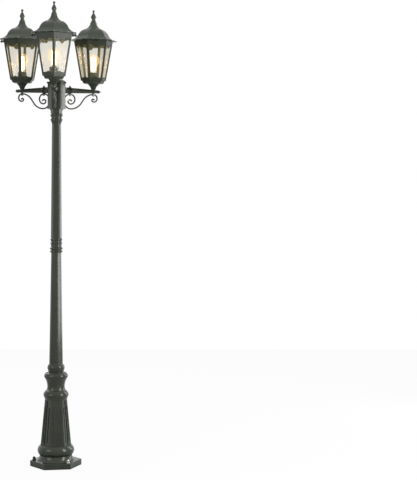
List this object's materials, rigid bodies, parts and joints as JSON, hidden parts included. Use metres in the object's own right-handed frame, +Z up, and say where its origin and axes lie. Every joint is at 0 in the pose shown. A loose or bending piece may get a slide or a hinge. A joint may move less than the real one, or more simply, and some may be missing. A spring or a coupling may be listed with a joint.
{
  "type": "triple head lamp post",
  "caption": "Tall garden lamp post: tapered post on a cast pedestal, with arms and scrolls that hold hexagonal glass lanterns.",
  "frame": {"origin": "centre of the bolt circle, on the underside of the foot", "axes": "+Z up along the post; one arm points along -Y, the other two at 120 degrees to it, towards +X+Y and -X+Y"},
  "size_m": [0.5913, 0.5561, 2.2988],
  "materials": {
    "post_paint": "satin powder coat, dark green-grey",
    "lantern_paint": "satin powder coat, dark green-grey",
    "roof_paint": "satin powder coat, grey-green",
    "pane_glass": "slightly rippled, pale beige",
    "bulb_glass": "clear, thin",
    "cap_metal": "rolled thread, bright",
    "filament": "lit, warm white",
    "holder_plastic": "dark brown, moulded",
    "stem_brass": "turned, threaded",
    "anchor_steel": "plated, dulled outdoors",
    "screw_steel": "plated",
    "terminal_plastic": "cream, moulded"
  },
  "bodies": {
    "root": {"pedestal": "post_paint", "anchor_nuts": "anchor_steel", "pedestal_collar": "post_paint", "lower_post": "post_paint", "mid_joint": "post_paint", "upper_post": "post_paint", "top_collar": "post_paint", "hub": "post_paint", "hub_cap": "post_paint", "post_screws": "screw_steel", "terminal_block": "terminal_plastic", "scroll_front": "post_paint", "arm_front": "post_paint", "arm_tip_front": "post_paint", "scroll_fasteners_front": "screw_steel", "stem_front": "stem_brass", "scroll_right": "post_paint", "arm_right": "post_paint", "arm_tip_right": "post_paint", "scroll_fasteners_right": "screw_steel", "stem_right": "stem_brass", "scroll_left": "post_paint", "arm_left": "post_paint", "arm_tip_left": "post_paint", "scroll_fasteners_left": "screw_steel", "stem_left": "stem_brass"},
    "lantern_front": {"calyx_front": "lantern_paint", "pan_front": "lantern_paint", "cage_front": "lantern_paint", "panes_front": "pane_glass", "lampholder_front": "holder_plastic"},
    "bulb_front": {"bulb_cap_front": "cap_metal", "bulb_front": "bulb_glass", "filament_front": "filament"},
    "roof_front": {"roof_front": "roof_paint", "finial_front": "roof_paint", "thumb_screws_front": "lantern_paint"},
    "lantern_right": {"calyx_right": "lantern_paint", "pan_right": "lantern_paint", "cage_right": "lantern_paint", "panes_right": "pane_glass", "lampholder_right": "holder_plastic"},
    "bulb_right": {"bulb_cap_right": "cap_metal", "bulb_right": "bulb_glass", "filament_right": "filament"},
    "roof_right": {"roof_right": "roof_paint", "finial_right": "roof_paint", "thumb_screws_right": "lantern_paint"},
    "lantern_left": {"calyx_left": "lantern_paint", "pan_left": "lantern_paint", "cage_left": "lantern_paint", "panes_left": "pane_glass", "lampholder_left": "holder_plastic"},
    "bulb_left": {"bulb_cap_left": "cap_metal", "bulb_left": "bulb_glass", "filament_left": "filament"},
    "roof_left": {"roof_left": "roof_paint", "finial_left": "roof_paint", "thumb_screws_left": "lantern_paint"}
  },
  "joints": [
    {"name": "lantern_front_turn", "type": "hinge", "parent": "root", "child": "lantern_front", "pos_m": [0, -0.207, 1.888], "axis": [0, 0, 1], "range_deg": [-90, 90]},
    {"name": "bulb_front_out", "type": "slide", "parent": "lantern_front", "child": "bulb_front", "axis": [0, 0, 1], "range_m": [0, 0.028]},
    {"name": "roof_front_lift", "type": "slide", "parent": "lantern_front", "child": "roof_front", "axis": [0, 0, 1], "range_m": [0, 0.15]},
    {"name": "lantern_right_turn", "type": "hinge", "parent": "root", "child": "lantern_right", "pos_m": [0.17927, 0.1035, 1.888], "axis": [0, 0, 1], "range_deg": [-90, 90]},
    {"name": "bulb_right_out", "type": "slide", "parent": "lantern_right", "child": "bulb_right", "axis": [0, 0, 1], "range_m": [0, 0.028]},
    {"name": "roof_right_lift", "type": "slide", "parent": "lantern_right", "child": "roof_right", "axis": [0, 0, 1], "range_m": [0, 0.15]},
    {"name": "lantern_left_turn", "type": "hinge", "parent": "root", "child": "lantern_left", "pos_m": [-0.17927, 0.1035, 1.888], "axis": [0, 0, 1], "range_deg": [-90, 90]},
    {"name": "bulb_left_out", "type": "slide", "parent": "lantern_left", "child": "bulb_left", "axis": [0, 0, 1], "range_m": [0, 0.028]},
    {"name": "roof_left_lift", "type": "slide", "parent": "lantern_left", "child": "roof_left", "axis": [0, 0, 1], "range_m": [0, 0.15]}
  ]
}
